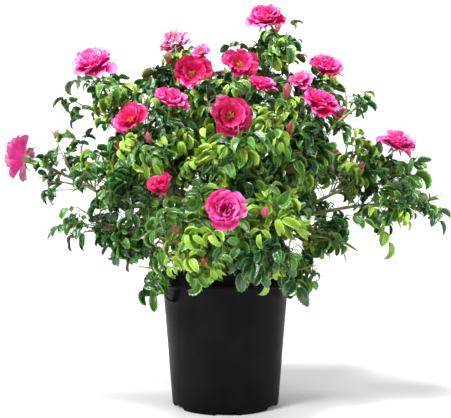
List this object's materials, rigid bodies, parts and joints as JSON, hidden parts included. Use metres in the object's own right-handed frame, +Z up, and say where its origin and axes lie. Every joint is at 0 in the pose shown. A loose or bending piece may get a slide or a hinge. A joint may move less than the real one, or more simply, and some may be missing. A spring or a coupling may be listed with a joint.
{
  "type": "potted rose bush",
  "caption": "A bushy rose in bloom in a black nursery pot: canes from a short main stem, masses of leaves and semi-double pink blooms on all sides, standing on the pot's flat underside.",
  "frame": {"origin": "centre of the pot's flat underside", "axes": "+Z up, -Y towards the viewer of the fullest side, +X to that viewer's right"},
  "size_m": [0.8028, 0.5873, 0.757],
  "materials": {
    "pot": "satin blow-moulded plastic",
    "potting_mix": "rough bark and peat mix",
    "old_wood": "matt bark, green-brown",
    "green_cane": "smooth young bark, prickly",
    "foliage": "semi-gloss leaves",
    "petals": "soft matt petals"
  },
  "bodies": {
    "root": {"pot": "pot", "potting_mix": "potting_mix", "main_stem": "old_wood", "cane_top": "old_wood", "cane_top_left": "old_wood", "cane_left_high": "old_wood", "cane_left_low": "old_wood", "cane_left_middle": "old_wood", "cane_front_middle": "old_wood", "cane_right_middle": "old_wood", "cane_right_reach": "old_wood", "cane_right_high": "old_wood", "cane_back_right": "old_wood", "cane_back_top": "old_wood", "cane_back_left": "old_wood", "fork_top_middle": "green_cane", "fork_left_reach": "green_cane", "fork_left_inner": "green_cane", "fork_left_rim": "green_cane", "fork_front_low_left": "green_cane", "fork_front_low_right": "green_cane", "fork_right_rim": "green_cane", "fork_right_low": "green_cane", "fork_right_shoulder": "green_cane", "fork_right_out": "green_cane", "fork_back_low_left": "green_cane", "fork_back_low": "green_cane", "fork_back_low_right": "green_cane", "foliage_top": "foliage", "foliage_top_left": "foliage", "foliage_left_high": "foliage", "foliage_left_low": "foliage", "foliage_left_middle": "foliage", "foliage_front_middle": "foliage", "foliage_right_middle": "foliage", "foliage_right_reach": "foliage", "foliage_right_high": "foliage", "foliage_back_right": "foliage", "foliage_back_top": "foliage", "foliage_back_left": "foliage", "foliage_top_middle": "foliage", "foliage_left_reach": "foliage", "foliage_left_inner": "foliage", "foliage_left_rim": "foliage", "foliage_front_low_left": "foliage", "foliage_front_low_right": "foliage", "foliage_right_rim": "foliage", "foliage_right_low": "foliage", "foliage_right_shoulder": "foliage", "foliage_right_out": "foliage", "foliage_back_low_left": "foliage", "foliage_back_low": "foliage", "foliage_back_low_right": "foliage"}
  },
  "joints": []
}
